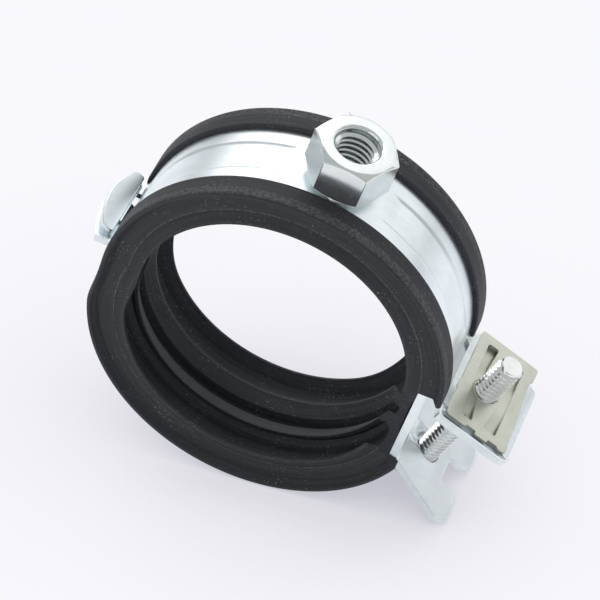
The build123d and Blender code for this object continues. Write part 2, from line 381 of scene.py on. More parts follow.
def noise(wire, vector, scale, detail=3.0, roughness=0.5):
    return wire.node(
        "ShaderNodeTexNoise", {"noise_dimensions": "3D"},
        {"Vector": vector, "Scale": scale, "Detail": detail, "Roughness": roughness},
    )


def stretched(wire, around, across, outwards, factors):
    # a vector that makes a noise long one way and short the other
    inputs = {i: way * factor for i, (way, factor) in enumerate(zip((around, across, outwards), factors))}
    return wire.node("ShaderNodeCombineXYZ", inputs=inputs)


def bumped(wire, strength, depth, height):
    return wire.node("ShaderNodeBump", inputs={"Strength": strength, "Distance": depth, "Height": height})


def newMaterial(name):
    material = bpy.data.materials.new(name)
    material.use_nodes = True
    tree = material.node_tree
    tree.nodes.clear()
    return material, Wire(tree)


def finishMaterial(wire, fixed, inputs):
    # constants stand on the shader's own sockets
    surface = wire.node("ShaderNodeBsdfPrincipled", inputs={**fixed, **inputs})
    wire.node("ShaderNodeOutputMaterial", inputs={"Surface": surface})


# how every plated finish is mixed: streaks run round the ring, an edge is where a noise turns on
plating = {
    "streakStretch": (0.12, 2.6, 0.5),
    "cloudShare": 0.7,
    "cloudEdge": (0.35, 0.68),
    "streakEdge": (0.4, 0.75),
    "pitEdge": (0.66, 0.8),
    "pitRoughness": 0.15,
    "streakHeight": 0.35,
    "bumpDepth": 0.00008,
    "ior": 1.6,
}


def platedSteel(name, look):
    # plated sheet or bar: cloudy plating, fine rolling streaks, a faint grain
    material, wire = newMaterial(name)
    place, around, across, outwards = ringCoordinates(wire)
    streakPlace = stretched(wire, around, across, outwards, plating["streakStretch"])
    streaks = noise(wire, streakPlace, look["streakScale"], 3)
    clouds = noise(wire, place, look["cloudScale"], 4, 0.6)
    grain = noise(wire, place, look["grainScale"], 2)
    share = plating["cloudShare"]
    mask = clouds.step(*plating["cloudEdge"]) * share + streaks.step(*plating["streakEdge"]) * (1 - share)
    colour = blendColours(wire, mask, look["light"], look["dark"])
    pits = grain.step(*plating["pitEdge"])
    colour = blendColours(wire, pits * look["pits"], colour, look["pitColour"])
    rough = clouds * look["roughVary"] + streaks * look["roughVary"] + look["roughness"]
    rough = rough + pits * plating["pitRoughness"]
    height = streaks * plating["streakHeight"] + grain * (1 - plating["streakHeight"])
    bump = bumped(wire, look["bump"], plating["bumpDepth"], height)
    finishMaterial(
        wire, {"Metallic": look["metallic"], "IOR": plating["ior"]},
        {"Base Color": colour, "Roughness": rough, "Normal": bump},
    )
    return material


bandZinc = {
    "light": (0.86, 0.91, 0.93, 1), "dark": (0.74, 0.81, 0.85, 1), "pitColour": (0.45, 0.50, 0.54, 1),
    "streakScale": 0.9, "cloudScale": 110, "grainScale": 2600, "pits": 0.35, "metallic": 0.92,
    "roughness": 0.22, "roughVary": 0.10, "bump": 0.05,
}
nutZinc = {
    "light": (0.84, 0.88, 0.87, 1), "dark": (0.72, 0.77, 0.79, 1), "pitColour": (0.38, 0.41, 0.43, 1),
    "streakScale": 0.5, "cloudScale": 160, "grainScale": 2200, "pits": 0.3, "metallic": 0.94,
    "roughness": 0.10, "roughVary": 0.06, "bump": 0.025,
}
springNickel = {
    "light": (0.66, 0.68, 0.60, 1), "dark": (0.56, 0.575, 0.50, 1), "pitColour": (0.34, 0.34, 0.28, 1),
    "streakScale": 1.2, "cloudScale": 90, "grainScale": 3000, "pits": 0.25, "metallic": 0.75,
    "roughness": 0.26, "roughVary": 0.10, "bump": 0.05,
}
screwZinc = {
    "light": (0.90, 0.91, 0.90, 1), "dark": (0.74, 0.76, 0.76, 1), "pitColour": (0.40, 0.42, 0.43, 1),
    "streakScale": 0.6, "cloudScale": 220, "grainScale": 2400, "pits": 0.3, "metallic": 0.95,
    "roughness": 0.10, "roughVary": 0.06, "bump": 0.02,
}
# a pale line is (radius, width, share) on the lips' outer faces, along one of their ridges
rubber = {
    "base": (0.013, 0.015, 0.019, 1),
    "worn": (0.036, 0.040, 0.047, 1),
    "dust": (0.34, 0.35, 0.36, 1),
    "dustShare": 0.7,
    "dustScale": 2700,
    "dustEdge": (0.665, 0.73),
    "patchScale": 120,
    "patchEdge": (0.44, 0.62),
    "paleEdgeLines": ((34.9, 0.22, 0.30), (40.75, 0.2, 0.16), (32.15, 0.2, 0.12)),
    "paleLinesFrom": (12.4, 12.8),
    "paleLineBreakScale": 1500,
    "paleLineBreak": (0.36, 0.6),
    "streakStretch": (0.05, 1.6, 1.6),
    "streakEdge": (0.35, 0.7),
    "streakShare": 0.6,
    "streakHeight": 0.4,
    "grainScale": 900,
    "grainEdge": (0.45, 0.7),
    "roughness": 0.52,
    "bump": 0.35,
    "bumpDepth": 0.0001,
    "ior": 1.5,
}


def blackRubber(name, centre=(0.0, 0.0)):
    # extruded rubber: long faint streaks, a matt grain, a little pale dust and pale broken lines along the
    # lips' ridges
    material, wire = newMaterial(name)
    place, around, across, outwards = ringCoordinates(wire, centre)
    streaks = noise(wire, stretched(wire, around, across, outwards, rubber["streakStretch"]), 1.0, 3)
    grain = noise(wire, place, rubber["grainScale"], 4, 0.65)
    specks = noise(wire, place, rubber["dustScale"], 1)
    patches = noise(wire, place, rubber["patchScale"], 3)
    dust = specks.step(*rubber["dustEdge"]) * patches.step(*rubber["patchEdge"]) * rubber["dustShare"]
    share = rubber["streakShare"]
    mask = streaks.step(*rubber["streakEdge"]) * share + grain.step(*rubber["grainEdge"]) * (1 - share)
    colour = blendColours(wire, mask, rubber["base"], rubber["worn"])
    aside = wire.maths("ABSOLUTE", across)
    broken = noise(wire, place, rubber["paleLineBreakScale"], 2).step(*rubber["paleLineBreak"])
    # pale broken lines along the lips' ridges, in the same pale grey as the dust
    paleLines = 0.0
    for radius, width, share in rubber["paleEdgeLines"]:
        line = outwards.step(radius - width, radius) * (1 - outwards.step(radius, radius + width))
        paleLines = paleLines + line * aside.step(*rubber["paleLinesFrom"]) * share
    colour = blendColours(wire, paleLines * broken, colour, rubber["dust"])
    colour = blendColours(wire, dust, colour, rubber["dust"])
    rough = grain * 0.16 + streaks * 0.08 + rubber["roughness"] + dust * 0.2
    height = grain * (1 - rubber["streakHeight"]) + streaks * rubber["streakHeight"]
    bump = bumped(wire, rubber["bump"], rubber["bumpDepth"], height)
    finishMaterial(
        wire, {"Metallic": 0.0, "IOR": rubber["ior"]},
        {"Base Color": colour, "Roughness": rough, "Normal": bump},
    )
    return material


finishes = {
    "zinc_steel": platedSteel("bright_zinc_strip", bandZinc),
    "nut_zinc": platedSteel("zinc_nut", nutZinc),
    "nickel_plate": platedSteel("nickel_spring_steel", springNickel),
    "screw_zinc": platedSteel("zinc_thread", screwZinc),
    "black_rubber": blackRubber("black_rubber_lining"),
}
lowerCentre = swing @ Vector((0, 0, 0))
lowerRubber = blackRubber("black_rubber_lower_lining", (lowerCentre.x, lowerCentre.z))


def settle(piece, body, node, slot, angle=35):
    # the last steps of every piece: shading, finish, and what it rides on and stands for
    shade(piece, angle)
    addModifier(piece, "WEIGHTED_NORMAL", keep_sharp=True, weight=60)
    piece.data.materials.clear()
    piece.data.materials.append(finishes[slot])
    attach(piece, body)
    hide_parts(node)
    return piece


# rubber lining: beads that touch the pipe, and lips that wrap over the strip's edges
liner = {
    "ends": {"upper": (5.5, 180.0), "lower": (180.0, 352.0)},
    "degreesPerStep": 1.8,
    "hingeEase": 22.0,
    "beadHalfWidth": 14.4,
    "sideHalfWidth": 13.1,
    "lipHalfWidth": 15.2,
    "lipInnerHalfWidth": 8.7,
    "lipOuter": 40.8,
    "channel": 35.6,
    "notchHalfWidth": 12.0,
    "hingeNotch": (-6.5, 0.95),
    "headNotch": (9.9, 2.7, 40.15),
    "lowerNotchTop": 1.9,
    "earNotchAngle": 345.0,
    "notchRadius": 37.7,
    "cornerRound": 0.14,
    "rearBeadIn": {"upper": (0.3, 0.2), "lower": (1.0, 0.7)},  # inwards and sideways
    "frontBeadIn": {"upper": (0.3, 0.2), "lower": (0.3, 0.2)},
}


def linerHalfSection():
    # (radius, half width) in millimetres, from the middle rib out to the bead, round the lip and back in
    seat, channel, lip = ring["seat"], liner["channel"], liner["lipOuter"]
    bead, side = liner["beadHalfWidth"], liner["sideHalfWidth"]
    lipWide, lipNarrow = liner["lipHalfWidth"], liner["lipInnerHalfWidth"]
    gripIn, gripOut, gripWide = ring["stripInner"] - 0.03, stripOuter + 0.03, ring["halfWidth"] + 0.05
    return [
        (channel, 1.1), (seat + 1.5, 1.6), (seat, 5.0), (seat, 5.7), (seat + 1.0, 5.6), (seat + 2.0, 4.7),
        (channel - 0.3, 5.6), (channel, 6.4), (channel + 0.15, 8.6), (channel, 10.8), (channel - 0.5, 12.0),
        (seat + 0.5, bead - 0.8), (seat, bead - 0.7), (seat, bead - 0.1), (seat + 0.2, bead),
        (seat + 2.9, side), (seat + 6.5, side + 0.1),
        (lip - 1.0, lipWide), (lip - 0.3, lipWide), (lip, lipWide - 0.6),
        (lip, lipNarrow + 0.5), (lip - 0.3, lipNarrow), (gripOut, lipNarrow),
        (gripOut, gripWide), (gripIn, gripWide), (gripIn, 5.3), (gripIn - 0.38, 4.5),
    ]


def linerArc(name, start, end):
    half = linerHalfSection()
    outline = half + [(r, -y) for r, y in reversed(half)]
    arc = drawOutline(name, outline)
    editAll(arc)
    bpy.ops.mesh.bevel(offset=liner["cornerRound"] * mm, segments=2, affect="VERTICES", clamp_overlap=True)
    bpy.ops.object.mode_set(mode="OBJECT")
    placed(arc, Matrix.Rotation(-radians(start), 4, "Y"))
    editAll(arc)
    steps = int((end - start) / liner["degreesPerStep"])
    bpy.ops.mesh.spin(steps=steps, angle=radians(end - start), center=(0, 0, 0), axis=(0, 1, 0))
    bpy.ops.object.mode_set(mode="OBJECT")
    recalculate(arc)
    return arc


def blockTool(low, high, turn=0.0):
    # a cutter between two corners, turned round the ring by an angle
    deselectAll()
    bpy.ops.mesh.primitive_cube_add(size=1)
    tool = named("cutter")
    size = Vector(high) - Vector(low)
    middle = (Vector(high) + Vector(low)) / 2
    placed(tool, Matrix.Translation(middle * mm) @ Matrix.Diagonal((*(size * mm), 1)))
    if turn:
        placed(tool, Matrix.Rotation(-radians(turn), 4, "Y"))
    return tool


def pushBead(arc, side, inwards, sideways):
    # a soft bead never sits quite true on its strip
    for vertex in arc.data.vertices:
        x, y, z = vertex.co / mm
        radius = hypot(x, z)
        weight = smoothStep(6, 14, y * side) * (1 - smoothStep(34, 38, radius))
        scale = (radius - inwards * weight) / radius
        vertex.co = Vector((x * scale, y + side * sideways * weight, z * scale)) * mm


def swingLiner(arc):
    # the rubber bends round the hinge, so that it still meets the upper half's end
    for vertex in arc.data.vertices:
        angle = degrees(atan2(vertex.co.z, vertex.co.x)) % 360
        share = smoothStep(180.0, 180.0 + liner["hingeEase"], angle) if angle > 90 else 1.0
        turn = Matrix.Rotation(radians(ring["openAngle"]) * share, 4, "Y")
        vertex.co = hingePoint + turn @ (vertex.co - hingePoint)
    arc.data.update()


def makeLiner(half):
    start, end = liner["ends"][half]
    arc = linerArc(half + "_liner_rubber", start, end)
    low, high = liner["hingeNotch"]
    wide, face = liner["notchHalfWidth"], liner["notchRadius"]
    headHalf, headTop, headFace = liner["headNotch"]
    beyond = 60  # past every wall
    if half == "upper":
        cutAway(arc, blockTool((-beyond, -wide, low), (-face, wide, high)))
        cutAway(arc, blockTool((-beyond, -headHalf, low), (-headFace, headHalf, headTop)))
    else:
        cutAway(arc, blockTool((-beyond, -wide, low), (-face, wide, liner["lowerNotchTop"])))
        cutAway(arc, blockTool((face, -wide, 0), (beyond, wide, 16), liner["earNotchAngle"]))
        swingLiner(arc)
    pushBead(arc, 1, *liner["rearBeadIn"][half])
    pushBead(arc, -1, *liner["frontBeadIn"][half])
    settle(arc, half + "_half", half + "_liner", "black_rubber", 20)
    if half == "lower":
        arc.data.materials[0] = lowerRubber
    return arc


upperLiner = makeLiner("upper")
lowerLiner = makeLiner("lower")
print("lining made", len(upperLiner.data.polygons), len(lowerLiner.data.polygons))


# both steel halves: the strip's middle is pressed in between two lines; presses are spans in degrees
strip = {
    "pressDepth": 0.35,
    "pressEdge": (4.15, 4.6),
    "upperPress": ((13.0, 73.0), (107.0, 166.5)),
    "lowerPress": ((195.0, 344.0),),
    "pressFade": 3,
    "degreesPerRow": 1.8,
    "halfColumns": (0.0, 1.4, 2.6, 3.6, 4.0, 4.15, 4.26, 4.38, 4.49, 4.6, 4.8, 5.4, 7.0, 9.0, 10.4, 11.5),
}


def bothSides(halfColumns):
    return [-y for y in reversed(halfColumns[1:])] + list(halfColumns)


def pressed(angle, y, spans):
    fade = strip["pressFade"]
    inside = max(smoothStep(a, a + fade, angle) * (1 - smoothStep(b - fade, b, angle)) for a, b in spans)
    return strip["pressDepth"] * inside * (1 - smoothStep(*strip["pressEdge"], abs(y)))


def arcPoints(start, end):
    count = int(abs(end - start) / strip["degreesPerRow"])
    return [ringPoint(stripMiddle, start + (end - start) * i / count) for i in range(count + 1)]


# upper half: hinge lip, ring and the tray-shaped ear in one bent strip;
# outlines on the ear are (outwards, along the pipe) from the middle of the plate
upperStrip = {
    "arc": (172, 7),
    "lipEnd": -46.8,
    "lipStart": -41.5,
    "lipCurve": 28.7,
    "lipBend": 1.6,
    "lipSlot": (-44.35, -40.05, 5.6),  # low X, high X, half width
    "earBend": 2.0,
    "earStub": 43.0,
    "trayFloor": -0.85,
    "rimTop": -0.3,
    "trayOutline": [
        (-9.4, -11.4), (-9.8, -12.4), (-9.8, -13.6), (-9.3, -14.8), (-8.2, -15.2), (7.6, -15.2), (9.2, -14.6),
        (9.9, -13.0), (9.9, 8.7), (9.7, 9.3), (9.2, 9.6), (6.9, 9.6), (6.9, 13.4), (-8.6, 13.4), (-9.4, 12.7),
        (-9.4, 11.4),
    ],
    "pocketOutline": [
        (-12, -11.7), (-9.2, -11.7), (-9.1, -12.4), (-9.0, -13.5), (-8.2, -14.55), (8.0, -14.55),
        (8.9, -14.1), (9.3, -13.3), (12, -12.8), (12, 16), (-12, 16),
    ],
    "gap": [(-8.7, -14.3), (8.4, -14.3), (8.4, -12.6), (-8.7, -12.6)],
    "turnedDown": (7.3, -12.9, 24.0),  # from where outwards, from where along the pipe, slope
    "well": [(-6.3, -11.3), (5.0, -11.3), (5.0, 12.1), (-6.3, 12.1)],
    "wellFloor": -1.7,
    "slit": (165.5, 1.3, -5.4, -4.8),  # angle, half length, low Y, high Y
    "punch": (4.6, 0.8, 4.6, 7.1),  # place before the ear's end, half length, low Y, high Y
    "screwSlot": [
        (-6.4, -3.0), (-5.0, -4.6), (5.6, -4.6), (7.2, -3.0), (7.2, 3.0), (5.6, 4.6), (-5.0, 4.6),
        (-6.4, 3.0),
    ],
    "edgeRound": 0.25,
}


def makeUpperBand():
    hingeZ = ring["hinge"][1]
    slope = tan(radians(ring["earTilt"]))
    arcStart, arcEnd = upperStrip["arc"]
    floor = upperStrip["trayFloor"]
    floorMiddle = (floor - ring["sheet"] / 2) / cos(radians(ring["earTilt"]))
    lipCorner = (-stripMiddle - 0.1, hingeZ)
    earCorner = (stripMiddle + 0.1, floorMiddle + (ring["plateX"] - stripMiddle) * slope)
    stub = (upperStrip["earStub"], floorMiddle + (ring["plateX"] - upperStrip["earStub"]) * slope)
    lip = bentPath(
        [(upperStrip["lipEnd"], hingeZ), lipCorner, ringPoint(stripMiddle, arcStart)], upperStrip["lipBend"]
    )
    ear = bentPath([ringPoint(stripMiddle, arcEnd), earCorner, stub], upperStrip["earBend"])
    before = divided(lip[:2], 0.6) + lip[2:-1]
    path = before + arcPoints(arcStart, arcEnd) + ear[1:]
    lengths = runLengths(path)
    ringStart = lengths[len(before)]
    lipLength = upperStrip["lipStart"] - upperStrip["lipEnd"]

    def shape(s, y):
        # the lip ends in a wide curve; the press fades out towards both bends and below the nut
        if s < lipLength:
            edge = upperStrip["lipCurve"] - sqrt(upperStrip["lipCurve"] ** 2 - y * y)
            return s + edge * (1 - s / lipLength), y, 0.0
        angle = arcStart - degrees((s - ringStart) / stripMiddle)
        return s, y, -pressed(angle, y, strip["upperPress"])

    slitAngle, slitHalf, slitLow, slitHigh = upperStrip["slit"]
    slitAt = ringStart + radians(arcStart - slitAngle) * stripMiddle
    punchBack, punchHalf, punchLow, punchHigh = upperStrip["punch"]
    punchAt = lengths[-1] - punchBack
    holes = [
        (slitAt - slitHalf, slitAt + slitHalf, slitLow, slitHigh),
        (punchAt - punchHalf, punchAt + punchHalf, punchLow, punchHigh),
    ]
    band = bentSheet("upper_band_strip", path, bothSides(strip["halfColumns"]), shape, holes=holes)
    low, high, half = upperStrip["lipSlot"]
    cutAway(band, blockTool((low, -half, -4), (high, half, 4)))
    # the tray's inside is cut down to its floor, and deeper where the plate's leaves sink
    tray = prism("tray", upperStrip["trayOutline"], floor - ring["sheet"], upperStrip["rimTop"])
    cutAway(tray, prism("cutter", upperStrip["pocketOutline"], floor, 4))
    cutAway(tray, prism("cutter", upperStrip["well"], upperStrip["wellFloor"], 4))
    cutAway(tray, prism("cutter", upperStrip["gap"], upperStrip["wellFloor"], 4))
    edgeAt, edgeFrom, edgeSlope = upperStrip["turnedDown"]
    wedge = blockTool((0, edgeFrom, 0), (6, 16, 4))
    turn = Matrix.Rotation(radians(edgeSlope), 4, "Y")
    cutAway(tray, placed(wedge, Matrix.Translation((edgeAt * mm, 0, floor * mm)) @ turn))
    softenEdges(tray, upperStrip["edgeRound"], 3, 40)
    placed(tray, earMatrix())
    combined(band, tray, "UNION")
    cutAway(band, placed(prism("cutter", upperStrip["screwSlot"], -6, 3), earMatrix()))
    return settle(band, "upper_half", "upper_band", "zinc_steel", 30)


upperBand = makeUpperBand()
print("upper band made", len(upperBand.data.polygons))


# lower half, made closed and then swung open: T-shaped hinge head, ring and a fluted ear with two lobes
lowerStrip = {
    "arc": (187, 350.5),
    "crossing": 27.4,  # how far below the upper plate the screw meets this ear
    "rootBend": 2.0,
    "earBend": 3.6,
    "earDroop": 14.0,
    "earRun": 10.0,
    "earHalfWidth": 13.5,
    "earFlare": 0.174,
    "flareStart": -7.5,
    "flareFrom": (3.8, 9.0),
    "lobeEnd": 12.55,
    "lobeGap": 3.7,
    "lobeCorner": 3.0,
    "recess": 6.6,
    "flute": (3.1, 1.2),  # half width and depth
    "fluteFades": (2.6, 3.4),
    "holeRadius": 3.5,
    "neckHalfWidth": 5.1,
    "neckRise": (2.3, -2.2, -4.1),
    "neckBend": 0.9,
    "neckFlare": (-0.2, 3.2),
    "headRise": 1.4,
    "headSlope": 7.0,
    "headOutline": [
        (0.15, -9.2), (-0.3, -9.7), (-1.3, -9.75), (-2.6, -9.2), (-3.3, -7.9), (-4.0, -6.0), (-4.6, -4.2),
        (-4.95, -2.2), (-5.1, 0.0), (-4.95, 2.2), (-4.6, 4.2), (-4.0, 6.0), (-3.3, 7.9), (-2.6, 9.2),
        (-1.3, 9.75), (-0.3, 9.7), (0.15, 9.2),
    ],
    "edgeRound": 0.3,
    "halfColumns": (0.0, 0.7, 1.4, 2.1, 2.7, 3.2, 3.6, 3.8, 4.2, 4.6, 5.1, 5.9, 7.2, 9.0, 10.2, 11.0, 11.5),
}


def lobeEdge(y):
    # how far out the ear's edge is: two lobes with round corners and a recess between them
    if abs(y) < lowerStrip["lobeGap"]:
        return lowerStrip["recess"]
    corner = lowerStrip["lobeCorner"]
    inset = min(abs(y) - lowerStrip["lobeGap"], lowerStrip["earHalfWidth"] - abs(y), corner)
    return lowerStrip["lobeEnd"] - corner + sqrt(max(corner ** 2 - (corner - inset) ** 2, 0))


def makeLowerBand():
    tilt = radians(ring["earTilt"])
    arcStart, arcEnd = lowerStrip["arc"]
    crossX, crossZ = toClosed(
        ring["plateX"] - lowerStrip["crossing"] * sin(tilt), -lowerStrip["crossing"] * cos(tilt)
    )
    root = (stripMiddle + 0.1, crossZ + (crossX - stripMiddle) * tan(tilt))
    bend = (crossX + lowerStrip["earBend"], crossZ - lowerStrip["earBend"] * tan(tilt))
    drooped = radians(ring["earTilt"] + lowerStrip["earDroop"])
    tip = (bend[0] + lowerStrip["earRun"], bend[1] - lowerStrip["earRun"] * tan(drooped))
    hingeX, hingeZ = ring["hinge"]
    top, middle, foot = (hingeZ + rise for rise in lowerStrip["neckRise"])
    neck = bentPath(
        [(hingeX, top), (hingeX, middle), (-stripMiddle - 0.1, foot), ringPoint(stripMiddle, arcStart)],
        lowerStrip["neckBend"], 4,
    )
    ear = bentPath([ringPoint(stripMiddle, arcEnd), root, bend, tip], lowerStrip["rootBend"], 5)
    ear = ear[:1] + divided(ear[1:], 0.7)
    neck = divided(neck[:-1], 0.8)
    path = neck + arcPoints(arcStart, arcEnd) + ear[1:]
    lengths = runLengths(path)
    ringStart = lengths[len(neck)]
    earStart = lengths[-len(ear) + 1]
    # the ear is measured along the sheet from where the screw crosses it
    crossing = min(range(len(path)), key=lambda i: (Vector(path[i]) - Vector((crossX, crossZ))).length)
    screwAt = lengths[crossing]
    earLength = lengths[-1] - screwAt

    def shape(s, y):
        flareLow, flareHigh = lowerStrip["neckFlare"]
        if s < ringStart + flareHigh + 0.3:
            narrow = lowerStrip["neckHalfWidth"]
            widened = smoothStep(ringStart + flareLow, ringStart + flareHigh, s)
            half = narrow + (ring["halfWidth"] - narrow) * widened
            return s, y / ring["halfWidth"] * half, 0.0
        if s < earStart:
            angle = arcStart + degrees((s - ringStart) / stripMiddle)
            return s, y, pressed(angle, y, strip["lowerPress"])
        u = s - screwAt
        flareAt = lowerStrip["flareStart"]
        share = min(max((u - flareAt) / (lowerStrip["lobeEnd"] - flareAt), 0), 1)
        wide = y * (1 + lowerStrip["earFlare"] * share * smoothStep(*lowerStrip["flareFrom"], abs(y)))
        flute, depth = lowerStrip["flute"]
        lift = 0.0
        if abs(y) < flute:
            fadeIn, fadeOut = lowerStrip["fluteFades"]
            fade = smoothStep(earStart, earStart + fadeIn, s) * (1 - smoothStep(0.0, fadeOut, u))
            lift = -depth * (1 - (y / flute) ** 2) ** 1.2 * fade
        if u > 0:
            s = screwAt + u / earLength * lobeEdge(wide)
        return s, wide, lift

    band = bentSheet("lower_band_strip", path, bothSides(lowerStrip["halfColumns"]), shape, 0.2)
    radius = lowerStrip["holeRadius"]
    hole = lathe("cutter", [(0, -6), (radius, -6), (radius, 6), (0, 6)], 40)
    turn = Matrix.Rotation(tilt, 4, "Y")
    cutAway(band, placed(hole, Matrix.Translation(Vector((crossX, 0, crossZ)) * mm) @ turn))
    head = prism("head", lowerStrip["headOutline"], 0, ring["sheet"])
    softenEdges(head, lowerStrip["edgeRound"], 3, 40)
    slope = Matrix.Rotation(radians(lowerStrip["headSlope"]), 4, "Y")
    placed(head, Matrix.Translation(Vector((hingeX, 0, hingeZ + lowerStrip["headRise"])) * mm) @ slope)
    combined(band, head, "UNION")
    placed(band, swing)
    return settle(band, "lower_half", "lower_band", "zinc_steel", 30)


lowerBand = makeLowerBand()
print("lower band made", len(lowerBand.data.polygons))


# connection nut on its welded collar
nut = {
    "acrossFlats": 17.0,
    "height": 10.0,
    "base": 40.7,
    "collarRadius": 6.8,
    "collarDepth": 1.7,
    "bore": 5.0,
    "threadTop": 4.28,
    "mouth": 5.55,
    "mouthDepth": 0.6,
    "pitch": 1.5,
    "chamferFrom": 0.4,
    "chamferSlope": 30,
    "edgeRound": 0.34,
    "weldOutline": [(6.2, 39.35), (7.5, 39.35), (7.45, 39.75), (7.15, 40.1), (6.7, 40.2), (6.2, 40.1)],
    "weldRipples": ((0.02, 11, 0.0), (0.012, 23, 1.0)),  # share of the radius, how many round, phase
    "turn": 1.6,
    "aside": 0.3,
}


def makeNut():
    # a lathe-turned blank with chamfered corners, cut to a hexagon
    flat, base, bore = nut["acrossFlats"] / 2, nut["base"], nut["bore"]
    top = base + nut["height"]
    foot = base - nut["collarDepth"]
    face, wide = flat - nut["chamferFrom"], flat + 3
    drop = (wide - face) * tan(radians(nut["chamferSlope"]))
    turned = lathe("connection_nut_body", [
        (bore, foot), (bore, top - nut["mouthDepth"]), (nut["mouth"], top), (face, top), (wide, top - drop),
        (wide, base + drop), (face, base), (nut["collarRadius"], base), (nut["collarRadius"], foot),
    ], 96)
    deselectAll()
    bpy.ops.mesh.primitive_cylinder_add(vertices=6, radius=flat / cos(pi / 6) * mm, depth=40 * mm)
    hexagon = named("hexagon")
    placed(hexagon, Matrix.Translation((0, 0, (top - 19.5) * mm)) @ Matrix.Rotation(pi / 6, 4, "Z"))
    combined(turned, hexagon, "INTERSECT")
    softenEdges(turned, nut["edgeRound"], 3, 22)
    thread = coil("thread", bore + 0.15, nut["threadTop"], nut["pitch"], base - 1.2, top - 1.4, 0.2, 32)
    # the weld bead is rippled, and lies on the curved strip
    bead = lathe("weld", nut["weldOutline"], 72)
    for vertex in bead.data.vertices:
        x, y, z = vertex.co / mm
        around = atan2(y, x)
        bulge = 1 + sum(share * sin(count * around + phase) for share, count, phase in nut["weldRipples"])
        sunk = stripOuter - sqrt(stripOuter ** 2 - x * x)
        vertex.co = Vector((x * bulge, y * bulge, z - sunk)) * mm
    piece = joined("connection_nut_body", [turned, thread, bead])
    turn = Matrix.Rotation(radians(nut["turn"]), 4, "Z")
    placed(piece, Matrix.Translation((nut["aside"] * mm, 0, 0)) @ turn)
    return settle(piece, "upper_half", "connection_nut", "nut_zinc", 28)


nutPiece = makeNut()
print("nut made", len(nutPiece.data.polygons))


# closing screw, leaning from its hole in the lower ear to where it crosses the spring plate
screw = {
    "cross": (-1.6, -1.0),  # on the plate: outwards, along the pipe
    "above": 11.7,
    "below": 31.6,
    "radius": 3.0,
    "core": 2.3,
    "pitch": 1.4,
    "headFlats": 10.0,
    "headHeight": 4.0,
    "flange": (6.0, 0.8),  # radius, height
    "slot": (1.2, 1.6),  # width, depth
    "edgeRound": 0.25,
}


def screwMatrix():
    ear = earMatrix()
    top = ear @ (Vector((*screw["cross"], 0)) * mm)
    foot = ear @ Vector((0, 0, -lowerStrip["crossing"] * mm))
    matrix = (top - foot).to_track_quat("Z", "Y").to_matrix().to_4x4()
    matrix.translation = top
    return matrix


def makeScrew():
    core, above, below = screw["core"], screw["above"], screw["below"]
    shank = lathe("closing_screw_body", [
        (0, -below - 0.4), (core, -below - 0.4), (core, above - 0.9), (core + 0.32, above - 0.5),
        (core + 0.28, above - 0.25), (core + 0.05, above), (0, above),
    ], 56)
    thread = coil("thread", core - 0.1, screw["radius"], screw["pitch"], -below + 0.8, above - 0.75, 0.16, 40)
    wide, thick = screw["flange"]
    flange = lathe("flange", [
        (0, -below - thick), (wide - 0.2, -below - thick), (wide, -below - thick + 0.2),
        (wide, -below - 0.2), (wide - 0.25, -below), (0, -below),
    ], 56)
    # a hexagon head with a slot, run a little way into the flange
    top, bottom = -below - thick + 0.1, -below - screw["headHeight"]
    radius = screw["headFlats"] / 2 / cos(pi / 6)
    deselectAll()
    bpy.ops.mesh.primitive_cylinder_add(vertices=6, radius=radius * mm, depth=(top - bottom) * mm)
    head = named("head")
    placed(head, Matrix.Translation((0, 0, (top + bottom) / 2 * mm)))
    width, depth = screw["slot"]
    cutAway(head, blockTool((-width / 2, -9, bottom - 1), (width / 2, 9, bottom + depth)))
    softenEdges(head, screw["edgeRound"], 3, 30)
    piece = joined("closing_screw_body", [shank, thread, flange, head])
    placed(piece, screwMatrix())
    return settle(piece, "screw", "closing_screw", "screw_zinc", 34)


screwPiece = makeScrew()
print("screw made", len(screwPiece.data.polygons))


# spring plate: two long slots with sunken leaves under them, a round hole and a rim that grips the thread;
# outlines are (outwards, along the pipe), turned ones (radius, height)
spring = {
    "thickness": 0.8,
    "outline": [
        (-7.7, 14.0), (-8.1, 13.6), (-8.15, -2.0), (-8.5, -2.5), (-8.5, -4.6), (-8.15, -5.0), (-8.1, -12.7),
        (-7.4, -13.4), (-2.8, -13.4), (-2.6, -12.7), (-0.2, -12.7), (-0.05, -13.6), (3.15, -13.6),
        (3.3, -12.7), (5.8, -12.7), (6.0, -13.2), (7.4, -13.2), (8.1, -12.7), (8.2, -11.0), (7.9, -10.5),
        (6.9, 8.7), (7.0, 9.4), (7.5, 9.8), (7.6, 13.5), (7.2, 14.0),
    ],
    "leftSlot": [
        (-4.6, -10.8), (-2.2, -10.8), (-2.0, -10.5), (-2.9, -4.5), (-3.4, -2.0), (-3.8, 1.0), (-3.5, 3.5),
        (-2.9, 11.2), (-3.1, 11.6), (-5.1, 11.6), (-5.6, 11.1), (-5.0, -10.4),
    ],
    "rightSlot": [
        (1.4, -10.5), (4.1, -10.5), (4.4, -10.2), (4.4, 10.6), (4.0, 11.0), (1.4, 11.0), (1.1, 10.7),
        (2.0, 3.5), (2.3, 1.0), (2.3, -3.0), (1.1, -10.2),
    ],
    "hole": 3.12,
    "leafSides": ((-6.2, -1.6), (0.6, 5.0)),
    "leafEnds": (-11.2, 12.0),
    "leafTop": -0.35,
    "leafRamp": (2.0, 9.0, 1.15),  # level up to, sunk from, how deep
    "leafThickness": 0.1,
    "rimOutline": [(3.1, -0.7), (3.42, -0.7), (3.46, -0.02), (3.3, 0.12), (3.12, 0.02)],
    "dimpleOutline": [(0.35, -1.6), (0.85, -1.6), (0.8, -1.3), (0.6, -1.2), (0.4, -1.3)],
    "dimple": (-3.5, -9.8),
    "edgeRound": 0.16,
}


